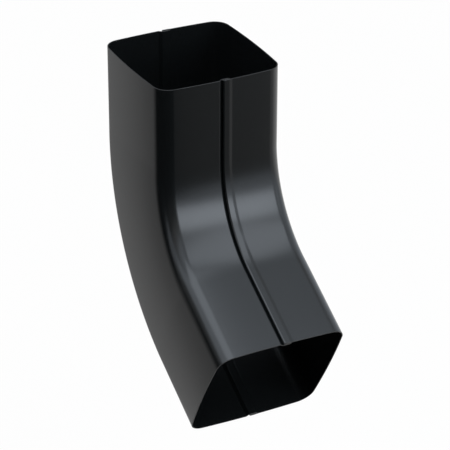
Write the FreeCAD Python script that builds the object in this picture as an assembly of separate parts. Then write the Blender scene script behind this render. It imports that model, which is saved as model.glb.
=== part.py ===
import FreeCAD, Part
import math
import os

# Downspout elbow for square rainwater pipe. Two halves are pressed from steel sheet and hooked into each
# other by a folded lock seam along the middle of the throat wall and along the middle of the heel wall.
#
# Frame, in millimetres: the origin is the centre of the narrow end's opening, +Z points out of that end
# along its axis, X runs across the pipe, and the elbow turns from -Z towards -Y.
# A section is drawn in x, across the pipe, and y, which is negative at the throat and positive at the heel.

# Sheet and pipe sizes
SHEET = 0.6             # thickness of the steel
SPIGOT_WIDTH = 80.0     # outside, across the narrow end that goes into a pipe socket
SPIGOT_DEPTH = 80.0     # outside, from throat to heel
SPIGOT_CORNER = 9.5     # outside radius of the four corners
SOCKET_WIDTH = 83.2     # outside, across the wide end that goes over a pipe
SOCKET_DEPTH = 82.4
SOCKET_CORNER = 10.0
CROWN = 1.8             # how far each wall bows out at its middle

# Course of the pipe
TURN = 60.0             # degrees between the two ends
BEND_RADIUS = 104.5     # of the centre line
SPIGOT_LEG = 51.5       # straight length at the narrow end
SOCKET_LEG = 50.0       # straight length at the wide end

# Lock seam, the same at throat and heel
LOCK_CENTRE = 2.25      # from the middle of the pipe to the middle of the lock
LOCK_PROUD = 0.35       # height of the lock above the wall
LOCK_PLAY = 0.04        # between one layer of sheet and the next
HOOK = 2.6              # flat length of each hook
HOOK_ROOM = 0.3         # from a hook's edge to the middle of the fold that holds it
GROOVE = 2.3            # open width beside the lock, where the left half dips under the right one
DIP_RUN = 2.2           # width of that dip
DIP_INSIDE_RADIUS = 0.1
RAMP_RUN = 1.8          # width of the right half's ramp, up from the wall to the lock
RAMP_INSIDE_RADIUS = 1.0

# How round shapes are drawn
BEND_STEP = 3.0         # degrees from one section of the bend to the next, at most, with straight lines between
FOLD_FLATS = 6          # short flats that make up the half turn of a fold

LAYER_PITCH = SHEET + LOCK_PLAY
FOLD_RADIUS = LAYER_PITCH + SHEET / 2
FOLD_GAP = HOOK + HOOK_ROOM
RIGHT_FOLD_X = LOCK_CENTRE - FOLD_GAP / 2
LEFT_FOLD_X = LOCK_CENTRE + FOLD_GAP / 2


def layer_depth(layer):
    """Depth of a layer's middle below the wall's outer face, for layers 0 (outermost) to 3."""
    return SHEET / 2 - LOCK_PROUD + layer * LAYER_PITCH


class Strip:
    """The middle line of a bent sheet, walked as flats and bends that join without a corner."""

    def __init__(self, x, y, heading):
        self.x, self.y, self.heading = x, y, heading
        self.steps = []

    def go(self, move):
        step = (self.x, self.y, self.heading, move)
        self.steps.append(step)
        self.x, self.y = self.point(step, 1.0, 0.0)
        self.heading += move[1]

    def point(self, step, share, aside):
        """A point a share of the way along a step, moved aside to the left of the walk."""
        x, y, heading, (size, angle, _) = step
        if angle == 0:
            return (x + share * size * math.cos(heading) - aside * math.sin(heading),
                    y + share * size * math.sin(heading) + aside * math.cos(heading))
        radius = math.copysign(size, angle)
        turned = heading + share * angle
        return (x - radius * math.sin(heading) + (radius - aside) * math.sin(turned),
                y + radius * math.cos(heading) - (radius - aside) * math.cos(turned))

    def side(self, aside):
        """Start, middle and end of each line and arc on one side of the sheet, and whether it is an arc."""
        pieces = []
        for step in self.steps:
            flats = step[3][2]
            count = max(flats, 1)
            for i in range(count):
                points = [self.point(step, (i + share) / count, aside) for share in (0, 0.5, 1)]
                pieces.append((points, flats == 0))
        return pieces


# A move is its length or radius, the angle it turns to the left, and the number of flats it is drawn with.
# A move with no flats is drawn as an arc.

def flat(length):
    return (length, 0, 1)


def bend(radius, angle):
    return (radius, angle, 0)


def crease(radius, angle):
    return (radius, angle, 1)


def fold(radius, angle):
    return (radius, angle, FOLD_FLATS)


def step_over(x0, y0, heading, x1, y1, inside_radius):
    """Moves that carry the sheet from one point and heading to another level, where it runs along +x again."""
    radius = inside_radius + SHEET / 2
    side = math.copysign(1, y1 - y0)
    centre_x = x0 - side * radius * math.sin(heading)
    centre_y = y0 + side * radius * math.cos(heading)
    run = x1 - centre_x
    rise = side * (y1 - side * radius - centre_y)
    reach = math.hypot(run, rise)
    slope = side * (math.atan2(rise, run) + math.asin(2 * radius / reach))
    straight = math.sqrt(reach ** 2 - 4 * radius ** 2)
    return [crease(radius, slope - heading), flat(straight), crease(radius, -slope)]


def corner_angles(width, depth, corner):
    """Radii of the side and throat walls, and how far each turns between its middle and its corner."""
    side_radius = ((depth / 2) ** 2 + CROWN ** 2) / (2 * CROWN)
    face_radius = ((width / 2) ** 2 + CROWN ** 2) / (2 * CROWN)
    side_x = side_radius - width / 2
    face_y = face_radius - depth / 2
    from_side, from_face = side_radius - corner, face_radius - corner
    apart = math.hypot(side_x, face_y)
    along = (from_face ** 2 - from_side ** 2 + apart ** 2) / (2 * apart)
    off = math.sqrt(from_face ** 2 - along ** 2)
    corner_x = (along * side_x - off * face_y) / apart
    corner_y = face_y - (along * face_y + off * side_x) / apart
    side_turn = math.atan2(-corner_y, side_x - corner_x)
    face_turn = math.atan2(-corner_x, face_y - corner_y)
    return side_radius, side_turn, face_radius, face_turn


def wall_moves(width, depth, corner, stop):
    """Moves from the middle of the side wall round the corner, to a stop short of the throat's middle.

    Returns them with the point and heading there, seen from the half's own side, which is at -x.
    """
    side_radius, side_turn, face_radius, face_turn = corner_angles(width, depth, corner)
    middle_radius = face_radius - SHEET / 2
    left_over = math.asin(stop / middle_radius)
    moves = [
        bend(side_radius - SHEET / 2, side_turn),
        bend(corner - SHEET / 2, math.pi / 2 - side_turn - face_turn),
        bend(middle_radius, face_turn - left_over),
    ]
    y = face_radius - depth / 2 - middle_radius * math.cos(left_over)
    return moves, -stop, y, -left_over


def left_moves(width, depth, corner):
    """Left half: the wall dips under the lock and ends in a hook that opens to the left."""
    stop = GROOVE + FOLD_RADIUS - RIGHT_FOLD_X
    moves, x, y, heading = wall_moves(width, depth, corner, stop)
    under = layer_depth(3) - depth / 2
    moves += step_over(x, y, heading, x + DIP_RUN, under, DIP_INSIDE_RADIUS)
    moves += [flat(LEFT_FOLD_X - x - DIP_RUN), fold(LAYER_PITCH, -math.pi), flat(HOOK)]
    return moves


def right_moves(width, depth, corner):
    """Right half, drawn mirrored: the wall ramps up to cover the lock and ends in a hook inside it."""
    stop = LEFT_FOLD_X + RAMP_RUN
    moves, x, y, heading = wall_moves(width, depth, corner, stop)
    over = layer_depth(0) - depth / 2
    moves += step_over(x, y, heading, -LEFT_FOLD_X, over, RAMP_INSIDE_RADIUS)
    moves += [flat(FOLD_GAP), fold(LAYER_PITCH, math.pi), flat(HOOK)]
    return moves


def half_strip(moves, width):
    """The whole half, from its heel hook to its throat hook: the moves backwards, then forwards."""
    probe = Strip(SHEET / 2 - width / 2, 0, -math.pi / 2)
    for move in moves:
        probe.go(move)
    strip = Strip(probe.x, -probe.y, math.pi - probe.heading)
    side_radius, side_turn, _ = moves[0]
    for move in moves[:0:-1] + [bend(side_radius, 2 * side_turn)] + moves[1:]:
        strip.go(move)
    return strip


def section(half, share, centre, normal):
    """Closed outline of one half's sheet, where share is 0 at the narrow size and 1 at the wide size."""
    width = SPIGOT_WIDTH + share * (SOCKET_WIDTH - SPIGOT_WIDTH)
    depth = SPIGOT_DEPTH + share * (SOCKET_DEPTH - SPIGOT_DEPTH)
    corner = SPIGOT_CORNER + share * (SOCKET_CORNER - SPIGOT_CORNER)
    moves_of, mirror = half
    strip = half_strip(moves_of(width, depth, corner), width)
    outer = strip.side(-SHEET / 2)
    inner = [(points[::-1], is_arc) for points, is_arc in reversed(strip.side(SHEET / 2))]
    throat_edge = ([outer[-1][0][-1], inner[0][0][0]], False)
    heel_edge = ([inner[-1][0][-1], outer[0][0][0]], False)

    def draw(points, is_arc):
        placed = [centre + FreeCAD.Vector(mirror * x, 0, 0) + normal * y for x, y in points]
        return (Part.Arc(*placed) if is_arc else Part.LineSegment(placed[0], placed[-1])).toShape()

    return Part.Wire([draw(*piece) for piece in outer + [throat_edge] + inner + [heel_edge]])


def station(turned):
    """Centre of the pipe and direction towards the heel, where the bend has turned so far, in degrees."""
    angle = math.radians(turned)
    centre = FreeCAD.Vector(0, -BEND_RADIUS * (1 - math.cos(angle)), -SPIGOT_LEG - BEND_RADIUS * math.sin(angle))
    return centre, FreeCAD.Vector(0, math.cos(angle), -math.sin(angle))


def make_half(half):
    count = math.ceil(TURN / BEND_STEP)
    sections = [section(half, i / count, *station(TURN * i / count)) for i in range(count + 1)]
    curved = Part.makeLoft(sections, True, True)
    spigot = Part.Face(sections[0]).extrude(FreeCAD.Vector(0, 0, SPIGOT_LEG))
    angle = math.radians(TURN)
    way_out = FreeCAD.Vector(0, -math.sin(angle), -math.cos(angle))
    socket = Part.Face(sections[-1]).extrude(way_out * SOCKET_LEG)
    return spigot.fuse([curved, socket])


HALVES = {"left_half": (left_moves, 1), "right_half": (right_moves, -1)}

os.makedirs("parts", exist_ok=True)
for name, half in HALVES.items():
    shape = make_half(half)
    shape.exportStep(f"parts/{name}.step")
    print(name, "solids", len(shape.Solids), "valid", shape.isValid(), "volume", round(shape.Volume, 1))
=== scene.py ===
import math

import bmesh
import bpy
from mathutils import Matrix, Vector


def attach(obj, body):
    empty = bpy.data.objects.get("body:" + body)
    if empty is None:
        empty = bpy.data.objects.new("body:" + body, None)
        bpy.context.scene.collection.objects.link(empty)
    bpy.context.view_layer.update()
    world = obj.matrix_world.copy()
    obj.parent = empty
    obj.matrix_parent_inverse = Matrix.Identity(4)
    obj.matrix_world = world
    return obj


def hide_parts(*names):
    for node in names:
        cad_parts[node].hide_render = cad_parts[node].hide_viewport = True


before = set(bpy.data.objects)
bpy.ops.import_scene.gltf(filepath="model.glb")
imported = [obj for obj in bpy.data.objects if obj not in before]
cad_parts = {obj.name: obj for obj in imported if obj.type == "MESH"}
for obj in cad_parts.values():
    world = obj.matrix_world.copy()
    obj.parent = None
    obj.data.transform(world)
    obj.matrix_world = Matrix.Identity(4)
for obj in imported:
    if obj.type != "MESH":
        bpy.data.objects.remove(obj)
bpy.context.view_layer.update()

# Downspout elbow for square rainwater pipe: two halves of painted steel sheet, hooked into each other by a
# folded lock seam along the middle of the throat wall and along the middle of the heel wall.
#
# Frame, in metres: the origin is the centre of the narrow end's opening, +Z points out of that end along its
# axis, X runs across the pipe, and the elbow turns from -Z towards -Y. The throat faces -Y and the heel +Y.

MM = 0.001

# Sheet and pipe sizes
SHEET = 0.6 * MM             # thickness of the steel
SPIGOT_WIDTH = 80.0 * MM     # outside, across the narrow end
SPIGOT_DEPTH = 80.0 * MM     # outside, from throat to heel
CORNER = 9.5 * MM            # outside radius of the narrow end's corners
SOCKET_WIDTH = 83.2 * MM     # outside, across the wide end
SOCKET_DEPTH = 82.4 * MM
CROWN = 1.8 * MM             # how far each wall of the narrow end bows out at its middle

# Course of the pipe
TURN = math.radians(60)      # between the two ends
BEND_RADIUS = 104.5 * MM     # of the centre line
SPIGOT_LEG = 51.5 * MM       # straight length at the narrow end
SOCKET_LEG = 50.0 * MM       # straight length at the wide end

# Lock seam, the same at throat and heel, with radii to the middle of the sheet
LOCK_CENTRE = 2.25 * MM      # from the middle of the pipe to the middle of the lock
LOCK_PROUD = 0.35 * MM       # height of the lock above the wall
LOCK_PLAY = 0.04 * MM        # between one layer of sheet and the next
HOOK = 2.6 * MM              # flat length of each hook
HOOK_ROOM = 0.3 * MM         # from a hook's edge to the middle of the fold that holds it
GROOVE = 2.3 * MM            # open width beside the lock, where the left half dips under the right one
DIP_RUN = 2.2 * MM           # width of that dip
DIP_RADIUS = 0.4 * MM
RAMP_TOP = 3.1 * MM          # from the middle of the pipe to the top of the right half's ramp
RAMP_FOOT = 6.1 * MM         # from the middle of the pipe to the foot of that ramp
RAMP_RADIUS = 5.0 * MM
LAYER_PITCH = SHEET + LOCK_PLAY
FOLD_RADIUS = LAYER_PITCH + SHEET / 2
FOLD_GAP = HOOK + HOOK_ROOM
RIGHT_FOLD_X = LOCK_CENTRE - FOLD_GAP / 2
LEFT_FOLD_X = LOCK_CENTRE + FOLD_GAP / 2

# Cut edges
RIM_ROUNDING = 0.09 * MM
CUT_EDGE_ANGLE = math.radians(60)    # only the cut edges turn by more

# Steps that round shapes are drawn in
SIDE_STEPS = 10              # from the middle of a side wall to its corner
CORNER_STEPS = 16
FACE_STEPS = 8               # from a corner to the dip or the ramp
DIP_STEPS = 4
RAMP_STEPS = 5
FOLD_STEPS = 14
BEND_STEPS = 48
LEG_STEPS = 6                # along each straight length
SAME_POINT = 1e-7            # points nearer than this are one

MIDDLE = Vector((0, -0.04, -0.1))    # of the elbow, about


def direction(azimuth, elevation):
    """Unit vector at an azimuth, anticlockwise from +X, and an elevation, both in degrees."""
    azimuth, elevation = math.radians(azimuth), math.radians(elevation)
    return Vector((
        math.cos(azimuth) * math.cos(elevation),
        math.sin(azimuth) * math.cos(elevation),
        math.sin(elevation),
    ))


# Camera, from the photograph's outlines

CAMERA_AZIMUTH = -117.09
CAMERA_ELEVATION = 27.94
CAMERA_ROLL = math.radians(0.149)
CAMERA_DISTANCE = 1.3587
AIM_RIGHT = 0.00109          # how far to the right of the elbow's middle the camera aims
AIM_UP = 0.00727             # how far above it
LENS = 187.0                 # focal length, in millimetres
SENSOR = 36.0                # width, in millimetres


def set_camera():
    back = direction(CAMERA_AZIMUTH, CAMERA_ELEVATION)
    level = Vector((0, 0, 1)).cross(back).normalized()
    rise = back.cross(level)
    right = math.cos(CAMERA_ROLL) * level + math.sin(CAMERA_ROLL) * rise
    up = math.cos(CAMERA_ROLL) * rise - math.sin(CAMERA_ROLL) * level
    aim = MIDDLE + AIM_RIGHT * right + AIM_UP * up
    data = bpy.data.cameras.new("camera")
    data.sensor_width = SENSOR
    data.lens = LENS
    camera = bpy.data.objects.new("camera", data)
    bpy.context.scene.collection.objects.link(camera)
    turn = Matrix((right, up, back)).transposed().to_4x4()
    camera.matrix_world = Matrix.Translation(aim + CAMERA_DISTANCE * back) @ turn
    bpy.context.scene.camera = camera


# Section of a half, at the narrow end

class Pen:
    """Draws the middle line of a bent sheet as a chain of edges, one flat or one bend after another."""

    def __init__(self, bm, start, heading):
        self.bm = bm
        self.tip = bmesh.ops.create_vert(bm, co=start)["vert"][0]
        self.heading = heading

    def along(self):
        return Vector((math.cos(self.heading), math.sin(self.heading), 0))

    def flat(self, length):
        self.tip = bmesh.ops.extrude_vert_indiv(self.bm, verts=[self.tip])["verts"][0]
        bmesh.ops.translate(self.bm, verts=[self.tip], vec=self.along() * length)

    def bend(self, radius, angle, steps):
        """Turn left by the angle, or right where it is negative."""
        left = Vector((0, 0, 1)).cross(self.along())
        centre = self.tip.co + left * math.copysign(radius, angle)
        made = bmesh.ops.spin(
            self.bm, geom=[self.tip], cent=centre, axis=(0, 0, 1), dvec=(0, 0, 0), angle=angle, steps=steps,
            use_duplicate=False,
        )
        self.tip = made["geom_last"][0]
        self.heading += angle

    def step_over(self, to, radius, steps):
        """An S-shaped step to another level, where the sheet runs along +x again."""
        start = self.tip.co
        side = math.copysign(1, to[1] - start.y)
        centre_x = start.x - side * radius * math.sin(self.heading)
        centre_y = start.y + side * radius * math.cos(self.heading)
        run = to[0] - centre_x
        rise = side * (to[1] - side * radius - centre_y)
        reach = math.hypot(run, rise)
        slope = side * (math.atan2(rise, run) + math.asin(2 * radius / reach))
        self.bend(radius, slope - self.heading, steps)
        self.flat(math.sqrt(reach ** 2 - 4 * radius ** 2))
        self.bend(radius, -slope, steps)


def corner_angles():
    """Radii of the side and throat walls, and how far each turns between its middle and its corner."""
    side_radius = ((SPIGOT_DEPTH / 2) ** 2 + CROWN ** 2) / (2 * CROWN)
    face_radius = ((SPIGOT_WIDTH / 2) ** 2 + CROWN ** 2) / (2 * CROWN)
    side_x = side_radius - SPIGOT_WIDTH / 2
    face_y = face_radius - SPIGOT_DEPTH / 2
    from_side, from_face = side_radius - CORNER, face_radius - CORNER
    apart = math.hypot(side_x, face_y)
    along = (from_face ** 2 - from_side ** 2 + apart ** 2) / (2 * apart)
    off = math.sqrt(from_face ** 2 - along ** 2)
    corner_x = (along * side_x - off * face_y) / apart
    corner_y = face_y - (along * face_y + off * side_x) / apart
    side_turn = math.atan2(-corner_y, side_x - corner_x)
    face_turn = math.atan2(-corner_x, face_y - corner_y)
    return side_radius, side_turn, face_radius, face_turn


def draw_wall(pen, stop):
    """Side wall from its middle, corner, and throat wall to a stop short of its middle."""
    side_radius, side_turn, face_radius, face_turn = corner_angles()
    left_over = math.asin(stop / (face_radius - SHEET / 2))
    pen.bend(side_radius - SHEET / 2, side_turn, SIDE_STEPS)
    pen.bend(CORNER - SHEET / 2, math.pi / 2 - side_turn - face_turn, CORNER_STEPS)
    pen.bend(face_radius - SHEET / 2, face_turn - left_over, FACE_STEPS)


def layer_y(layer):
    """Level of a layer of the lock at the throat, for layers 0 (outermost) to 3."""
    return SHEET / 2 - LOCK_PROUD + layer * LAYER_PITCH - SPIGOT_DEPTH / 2


def draw_left(pen):
    """The wall dips under the lock and ends in a hook that opens to the left."""
    draw_wall(pen, GROOVE + FOLD_RADIUS - RIGHT_FOLD_X)
    dip_end = pen.tip.co.x + DIP_RUN
    pen.step_over((dip_end, layer_y(3)), DIP_RADIUS, DIP_STEPS)
    pen.flat(LEFT_FOLD_X - dip_end)
    pen.bend(LAYER_PITCH, -math.pi, FOLD_STEPS)
    pen.flat(HOOK)


def draw_right(pen):
    """Drawn mirrored: the wall ramps up to cover the lock and ends in a hook inside it."""
    draw_wall(pen, RAMP_FOOT)
    pen.step_over((-RAMP_TOP, layer_y(0)), RAMP_RADIUS, RAMP_STEPS)
    pen.flat(RAMP_TOP - RIGHT_FOLD_X)
    pen.bend(LAYER_PITCH, math.pi, FOLD_STEPS)
    pen.flat(HOOK)


def draw_half(bm, draw, side):
    """The whole section of a half, from its throat hook to its heel hook."""
    pen = Pen(bm, (SHEET / 2 - SPIGOT_WIDTH / 2, 0, 0), -math.pi / 2)
    draw(pen)
    bmesh.ops.mirror(bm, geom=bm.verts[:] + bm.edges[:], merge_dist=SAME_POINT, axis="Y")
    bmesh.ops.scale(bm, vec=(side, 1, 1), verts=bm.verts[:])


# The two halves

def section_at(turned):
    """Matrix from a section as it is drawn to where the bend has turned so far, grown to the size there."""
    share = turned / TURN
    wider = 1 + share * (SOCKET_WIDTH / SPIGOT_WIDTH - 1)
    deeper = 1 + share * (SOCKET_DEPTH / SPIGOT_DEPTH - 1)
    bend_centre = Matrix.Translation((0, -BEND_RADIUS, -SPIGOT_LEG))
    out = Matrix.Translation((0, BEND_RADIUS, 0))
    return bend_centre @ Matrix.Rotation(-turned, 4, "X") @ out @ Matrix.Diagonal((wider, deeper, 1, 1))


def sweep(bm, edges, matrix):
    """Pulls the open edges of the sheet out to a new place and returns the new ones."""
    made = bmesh.ops.extrude_edge_only(bm, edges=edges)["geom"]
    verts = [part for part in made if isinstance(part, bmesh.types.BMVert)]
    bmesh.ops.transform(bm, matrix=matrix, verts=verts)
    return [part for part in made if isinstance(part, bmesh.types.BMEdge)]


def sweep_half(bm):
    """Pulls a section down the narrow end, round the bend and out of the wide end."""
    edges = bm.edges[:]
    for _ in range(LEG_STEPS):
        edges = sweep(bm, edges, Matrix.Translation((0, 0, -SPIGOT_LEG / LEG_STEPS)))
    for i in range(BEND_STEPS):
        before, after = section_at(TURN * i / BEND_STEPS), section_at(TURN * (i + 1) / BEND_STEPS)
        edges = sweep(bm, edges, after @ before.inverted())
    way_out = Vector((0, -math.sin(TURN), -math.cos(TURN)))
    for _ in range(LEG_STEPS):
        edges = sweep(bm, edges, Matrix.Translation(way_out * SOCKET_LEG / LEG_STEPS))
    bmesh.ops.remove_doubles(bm, verts=bm.verts[:], dist=SAME_POINT)
    bmesh.ops.recalc_face_normals(bm, faces=bm.faces[:])
    for face in bm.faces:
        face.smooth = True


def make_half(name, draw, side):
    """A half of the elbow: its side is 1 where it is drawn as it lies, and -1 where it is drawn mirrored."""
    bm = bmesh.new()
    draw_half(bm, draw, side)
    sweep_half(bm)
    mesh = bpy.data.meshes.new(name)
    bm.to_mesh(mesh)
    bm.free()
    half = bpy.data.objects.new(name, mesh)
    bpy.context.scene.collection.objects.link(half)
    wall = half.modifiers.new("sheet_thickness", "SOLIDIFY")
    wall.thickness = SHEET
    wall.offset = 0
    wall.use_even_offset = True
    rounding = half.modifiers.new("cut_edge_rounding", "BEVEL")
    rounding.width = RIM_ROUNDING
    rounding.segments = 2
    rounding.limit_method = "ANGLE"
    rounding.angle_limit = CUT_EDGE_ANGLE
    half.modifiers.new("even_shading", "WEIGHTED_NORMAL")
    return half


# Paint

DARK_PAINT = (0.0042, 0.0051, 0.0052, 1)
PALE_PAINT = (0.0062, 0.0072, 0.0073, 1)
PAINT_IOR = 1.5
LEAST_ROUGHNESS = 0.22
MOST_ROUGHNESS = 0.26
CLOUD_SCALE = 22             # slight clouds, about 45 mm across
CLOUD_DETAIL = 3
PEEL_SCALE = 900             # orange peel, about 1 mm across
PEEL_DETAIL = 2
PEEL_STRENGTH = 0.06
PEEL_HEIGHT = 0.2 * MM


def noise(nodes, links, place, scale, detail):
    """Noise that stays with the object. Its features are about 1 / scale metres across."""
    texture = nodes.new("ShaderNodeTexNoise")
    texture.inputs["Scale"].default_value = scale
    texture.inputs["Detail"].default_value = detail
    links.new(place.outputs["Object"], texture.inputs["Vector"])
    return texture.outputs["Fac"]


def satin_black_paint():
    material = bpy.data.materials.new("satin_black_paint")
    material.use_nodes = True
    nodes, links = material.node_tree.nodes, material.node_tree.links
    shader = nodes["Principled BSDF"]
    shader.inputs["IOR"].default_value = PAINT_IOR
    place = nodes.new("ShaderNodeTexCoord")

    clouds = noise(nodes, links, place, CLOUD_SCALE, CLOUD_DETAIL)
    colour = nodes.new("ShaderNodeMix")
    colour.data_type = "RGBA"
    colour.inputs["A"].default_value = DARK_PAINT
    colour.inputs["B"].default_value = PALE_PAINT
    links.new(clouds, colour.inputs["Factor"])
    links.new(colour.outputs["Result"], shader.inputs["Base Color"])
    gloss = nodes.new("ShaderNodeMapRange")
    gloss.inputs["To Min"].default_value = LEAST_ROUGHNESS
    gloss.inputs["To Max"].default_value = MOST_ROUGHNESS
    links.new(clouds, gloss.inputs["Value"])
    links.new(gloss.outputs["Result"], shader.inputs["Roughness"])

    peel = noise(nodes, links, place, PEEL_SCALE, PEEL_DETAIL)
    bump = nodes.new("ShaderNodeBump")
    bump.inputs["Strength"].default_value = PEEL_STRENGTH
    bump.inputs["Distance"].default_value = PEEL_HEIGHT
    links.new(peel, bump.inputs["Height"])
    links.new(bump.outputs["Normal"], shader.inputs["Normal"])
    return material


# Studio

FLOOR = -0.8                 # level of the floor
FLOOR_WIDTH = 8
FLOOR_CARD_WIDTH = 1.4
FLOOR_CARD_DEPTH = 0.9
FLOOR_CARD_Y = -0.35         # of its middle
FLOOR_CARD_LIFT = 0.005      # above the floor
CARD_RADIUS = 0.8            # of the cards that stand round the elbow
CARD_STEPS = 20
LAMP_DISTANCE = 1.5          # from the middle of the elbow
COOL_LIGHT = (0.92, 1.0, 1.10)
MATT_WHITE = 0.8             # colour of the matt part of a background that looks white
GLOW_SHARE = 0.98            # of a background's look; the rest is matt and takes shadows


def white_to_the_camera(nodes, links):
    """1 for a ray that looks at the background, straight, mirrored or through glass, and 0 for others."""
    rays = nodes.new("ShaderNodeLightPath")
    mirrored = nodes.new("ShaderNodeMath")
    mirrored.operation = "MAXIMUM"
    links.new(rays.outputs["Is Camera Ray"], mirrored.inputs[0])
    links.new(rays.outputs["Is Glossy Ray"], mirrored.inputs[1])
    seen = nodes.new("ShaderNodeMath")
    seen.operation = "MAXIMUM"
    links.new(mirrored.outputs["Value"], seen.inputs[0])
    links.new(rays.outputs["Is Transmission Ray"], seen.inputs[1])
    return seen.outputs["Value"]


def background_material(name, level):
    """Matt grey that looks as bright as its level, 1 for white, and keeps a little of the shadows on it."""
    material = bpy.data.materials.new(name)
    material.use_nodes = True
    nodes, links = material.node_tree.nodes, material.node_tree.links
    shader = nodes["Principled BSDF"]
    matt = MATT_WHITE * level
    shader.inputs["Base Color"].default_value = (matt, matt, matt, 1)
    shader.inputs["Roughness"].default_value = 1.0
    shader.inputs["Specular IOR Level"].default_value = 0.0
    glow = nodes.new("ShaderNodeEmission")
    glow.inputs["Strength"].default_value = level
    share = nodes.new("ShaderNodeMath")
    share.operation = "MULTIPLY"
    share.inputs[1].default_value = GLOW_SHARE
    links.new(white_to_the_camera(nodes, links), share.inputs[0])
    mix = nodes.new("ShaderNodeMixShader")
    links.new(share.outputs["Value"], mix.inputs["Fac"])
    links.new(shader.outputs["BSDF"], mix.inputs[1])
    links.new(glow.outputs["Emission"], mix.inputs[2])
    links.new(mix.outputs["Shader"], nodes["Material Output"].inputs["Surface"])
    return material


def stage_mesh(name, bm, level):
    mesh = bpy.data.meshes.new(name)
    bm.to_mesh(mesh)
    bm.free()
    piece = bpy.data.objects.new(name, mesh)
    bpy.context.scene.collection.objects.link(piece)
    mesh.materials.append(background_material(name, level))
    return piece


def level_rectangle(width, depth, middle):
    bm = bmesh.new()
    bmesh.ops.create_grid(bm, x_segments=1, y_segments=1, size=0.5)
    bmesh.ops.scale(bm, vec=(width, depth, 1), verts=bm.verts[:])
    bmesh.ops.translate(bm, verts=bm.verts[:], vec=middle)
    return bm


def make_floor():
    stage_mesh("floor", level_rectangle(FLOOR_WIDTH, FLOOR_WIDTH, (0, 0, FLOOR)), 1.0)


def hide_from_camera(card):
    card.visible_camera = False
    card.visible_transmission = False


def make_floor_card(level):
    """A card flat on the floor below the elbow and in front of it."""
    middle = (0, FLOOR_CARD_Y, FLOOR + FLOOR_CARD_LIFT)
    bm = level_rectangle(FLOOR_CARD_WIDTH, FLOOR_CARD_DEPTH, middle)
    hide_from_camera(stage_mesh("floor_card", bm, level))


def card_height(elevation):
    """Height on the cards at an elevation, in degrees, seen from the middle of the elbow."""
    return max(MIDDLE.z + CARD_RADIUS * math.tan(math.radians(elevation)), FLOOR)


def make_card(name, azimuths, elevations, level):
    """A card curved round one side of the elbow, which the paint mirrors and the camera doesn't see.

    It reaches from one azimuth to the other, anticlockwise from +X, and from the lower to the upper
    elevation, all in degrees.
    """
    start, end = (math.radians(azimuth) for azimuth in azimuths)
    low, high = (card_height(elevation) for elevation in elevations)
    bm = bmesh.new()
    foot = (CARD_RADIUS * math.cos(start), MIDDLE.y + CARD_RADIUS * math.sin(start), low)
    bottom = bmesh.ops.create_vert(bm, co=foot)["vert"]
    edge = bmesh.ops.extrude_vert_indiv(bm, verts=bottom)
    bmesh.ops.translate(bm, verts=edge["verts"], vec=(0, 0, high - low))
    bmesh.ops.spin(
        bm, geom=bottom + edge["verts"] + edge["edges"], cent=(0, MIDDLE.y, 0), axis=(0, 0, 1),
        dvec=(0, 0, 0), angle=end - start, steps=CARD_STEPS, use_duplicate=False,
    )
    hide_from_camera(stage_mesh(name, bm, level))


def softbox(name, azimuth, elevation, size, radiance):
    """A rectangular lamp that faces the elbow from a direction and glows with a given radiance."""
    towards = direction(azimuth, elevation)
    width, height = size
    data = bpy.data.lights.new(name, "AREA")
    data.shape = "RECTANGLE"
    data.size, data.size_y = width, height
    data.energy = radiance * math.pi * width * height
    data.color = COOL_LIGHT
    lamp = bpy.data.objects.new(name, data)
    bpy.context.scene.collection.objects.link(lamp)
    turn = towards.to_track_quat("Z", "Y").to_matrix().to_4x4()
    lamp.matrix_world = Matrix.Translation(MIDDLE + towards * LAMP_DISTANCE) @ turn


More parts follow.
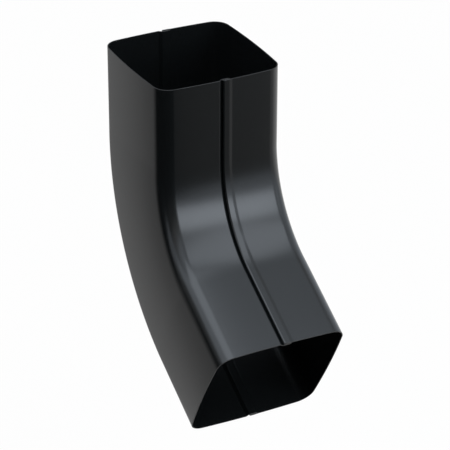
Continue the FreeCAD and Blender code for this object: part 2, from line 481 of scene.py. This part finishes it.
def light_world(level):
    """A room that looks white to the camera and lights the elbow at a given level, slightly cool."""
    world = bpy.data.worlds.new("room")
    bpy.context.scene.world = world
    world.use_nodes = True
    nodes, links = world.node_tree.nodes, world.node_tree.links
    strength = nodes.new("ShaderNodeMapRange")
    strength.inputs["To Min"].default_value = level
    strength.inputs["To Max"].default_value = 1.0
    links.new(white_to_the_camera(nodes, links), strength.inputs["Value"])
    rays = nodes.new("ShaderNodeLightPath")
    tint = nodes.new("ShaderNodeMix")
    tint.data_type = "RGBA"
    tint.inputs["A"].default_value = (*COOL_LIGHT, 1)
    tint.inputs["B"].default_value = (1, 1, 1, 1)
    links.new(rays.outputs["Is Camera Ray"], tint.inputs["Factor"])
    background = nodes["Background"]
    links.new(tint.outputs["Result"], background.inputs["Color"])
    links.new(strength.outputs["Result"], background.inputs["Strength"])


set_camera()

paint = satin_black_paint()
for name, draw, side in (("left_half", draw_left, 1), ("right_half", draw_right, -1)):
    sheet = make_half(name + "_sheet", draw, side)
    sheet.data.materials.append(paint)
    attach(sheet, "root")
    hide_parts(name)

make_floor()
make_floor_card(level=0.45)
make_card("low_black_card", azimuths=(150.5, 285), elevations=(-60, 5), level=0.02)
make_card("front_black_card", azimuths=(200, 275), elevations=(5, 22), level=0.14)
make_card("front_fade_card", azimuths=(200, 275), elevations=(22, 36), level=0.6)
make_card("left_low_card", azimuths=(122, 150.5), elevations=(-60, 5), level=0.27)
make_card("left_grey_card", azimuths=(122, 172), elevations=(5, 30), level=0.3)
make_card("front_grey_card", azimuths=(285, 312), elevations=(-60, -3.5), level=0.24)
make_card("side_grey_card", azimuths=(312, 340), elevations=(-60, -3.5), level=0.58)
make_card("back_grey_card", azimuths=(70, 122), elevations=(-60, -8), level=0.5)
make_card("upper_grey_card", azimuths=(48, 78), elevations=(-4, 45), level=0.3)
make_card("right_grey_card", azimuths=(0, 28), elevations=(32, 52), level=0.5)
light_world(level=0.5)
softbox("key_softbox", azimuth=-66, elevation=21.5, size=(0.89, 0.553), radiance=3.8)
softbox("upper_softbox", azimuth=-49, elevation=49.7, size=(0.85, 0.765), radiance=2.1)
softbox("top_softbox", azimuth=-158, elevation=80.8, size=(1.12, 1.12), radiance=2.12)
softbox("corner_softbox", azimuth=-125, elevation=46, size=(0.9, 0.4), radiance=0.45)
softbox("side_softbox", azimuth=-28, elevation=11, size=(0.4, 0.5), radiance=0.6)
softbox("left_softbox", azimuth=178, elevation=43, size=(0.6, 1.0), radiance=0.8)

bpy.context.scene.view_settings.view_transform = "Standard"
